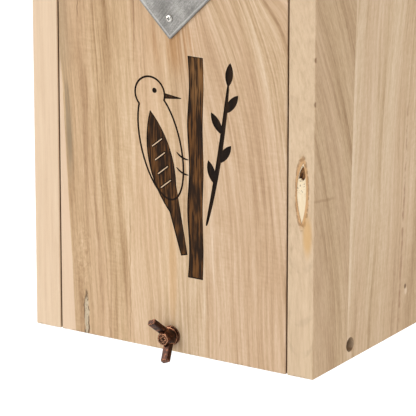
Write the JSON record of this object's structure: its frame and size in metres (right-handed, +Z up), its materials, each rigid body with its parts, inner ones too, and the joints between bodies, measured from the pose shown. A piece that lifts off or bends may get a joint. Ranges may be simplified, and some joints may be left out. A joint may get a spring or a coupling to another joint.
{
  "type": "birdhouse",
  "caption": "Woodpecker nest box of solid boards, with a steel guard plate and a swing-up front held by a wing screw.",
  "frame": {"origin": "On the rear face of the back, midway between the two mounting holes, where the box meets its tree or post.", "axes": "+X to the right as seen from the front, +Y towards the tree or post behind, +Z up. The front faces -Y."},
  "size_m": [0.2604, 0.2778, 0.4987],
  "materials": {
    "side_wood": "planed, unfinished",
    "front_wood": "planed, unfinished, with a burned drawing",
    "back_wood": "planed, unfinished",
    "floor_wood": "planed, unfinished",
    "roof_wood": "planed, unfinished",
    "galvanised_steel": "galvanised, matt",
    "bright_screw": "bright zinc",
    "coated_screw": "dark coated",
    "antique_copper": "antique copper plating, worn bright on its edges"
  },
  "bodies": {
    "house": {"back_panel": "back_wood", "left_side": "side_wood", "right_side": "side_wood", "floor_board": "floor_wood", "roof_board": "roof_wood", "left_floor_screws": "coated_screw", "right_floor_screws": "coated_screw", "rear_floor_screws": "coated_screw", "left_back_screws": "coated_screw", "right_back_screws": "coated_screw", "left_roof_screws": "coated_screw", "right_roof_screws": "coated_screw"},
    "front_door": {"front_panel": "front_wood", "predator_guard": "galvanised_steel", "guard_screws": "bright_screw", "left_pivot_screw": "coated_screw", "right_pivot_screw": "coated_screw"},
    "washer": {"latch_washer": "antique_copper"},
    "wing_screw": {"wing_nut": "antique_copper", "latch_stud": "antique_copper"}
  },
  "joints": [
    {"name": "front_swing", "type": "hinge", "parent": "house", "child": "front_door", "pos_m": [0, -0.20003, 0.07938], "axis": [-1, 0, 0], "range_deg": [0, 90]},
    {"name": "screw_travel", "type": "slide", "parent": "front_door", "child": "washer", "axis": [0, -1, 0], "range_m": [0, 0.0127]},
    {"name": "screw_turn", "type": "hinge", "parent": "washer", "child": "wing_screw", "pos_m": [0, -0.20955, -0.2559], "axis": [0, -1, 0], "range_deg": [0, 3600]}
  ],
  "couplings": [
    {"joint": "screw_travel", "follows": "screw_turn", "m_per_rad": 0.00020213}
  ]
}
